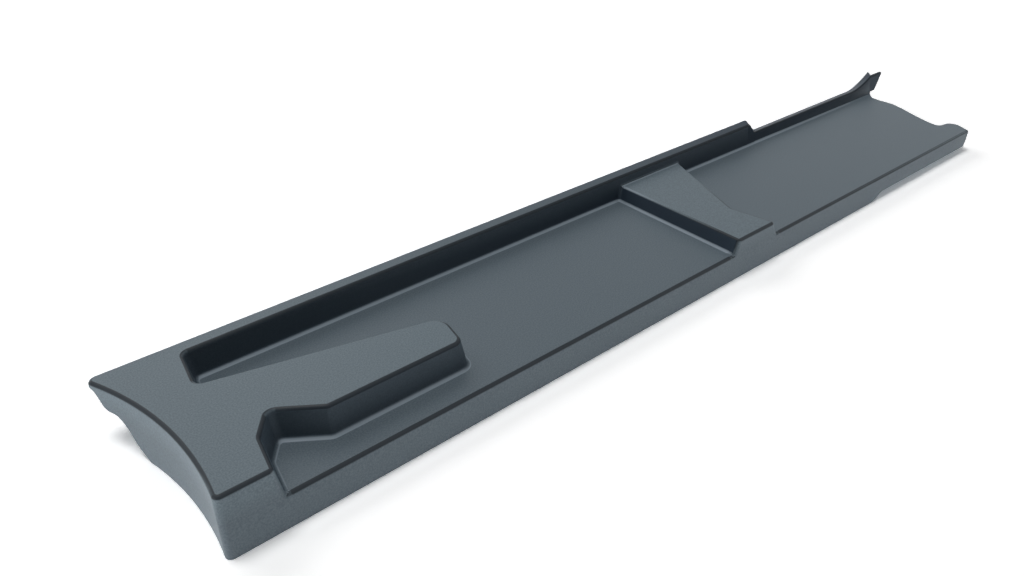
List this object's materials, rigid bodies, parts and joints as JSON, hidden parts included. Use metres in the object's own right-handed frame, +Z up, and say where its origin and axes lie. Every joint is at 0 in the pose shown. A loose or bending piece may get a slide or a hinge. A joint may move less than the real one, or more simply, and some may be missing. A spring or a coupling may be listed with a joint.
{
  "type": "parcel shelf bracket",
  "caption": "Long moulded side support for a car's rear parcel shelf: a tray with a rim, a raised finger, a slanted step and trimmed ends, open underneath.",
  "frame": {"origin": "middle of the tray floor, between the finger's tip and the step, on its upper face", "axes": "+X along the bracket from the bowed end to the trimmed end, +Y from the open front to the rim at the back, +Z up from the tray floor"},
  "size_m": [0.7188, 0.1171, 0.034],
  "materials": {
    "moulding": "fine-grained matt ABS sheet, dark blue-grey, edges trimmed after moulding"
  },
  "bodies": {
    "root": {"shelf_bracket": "moulding"}
  },
  "joints": []
}
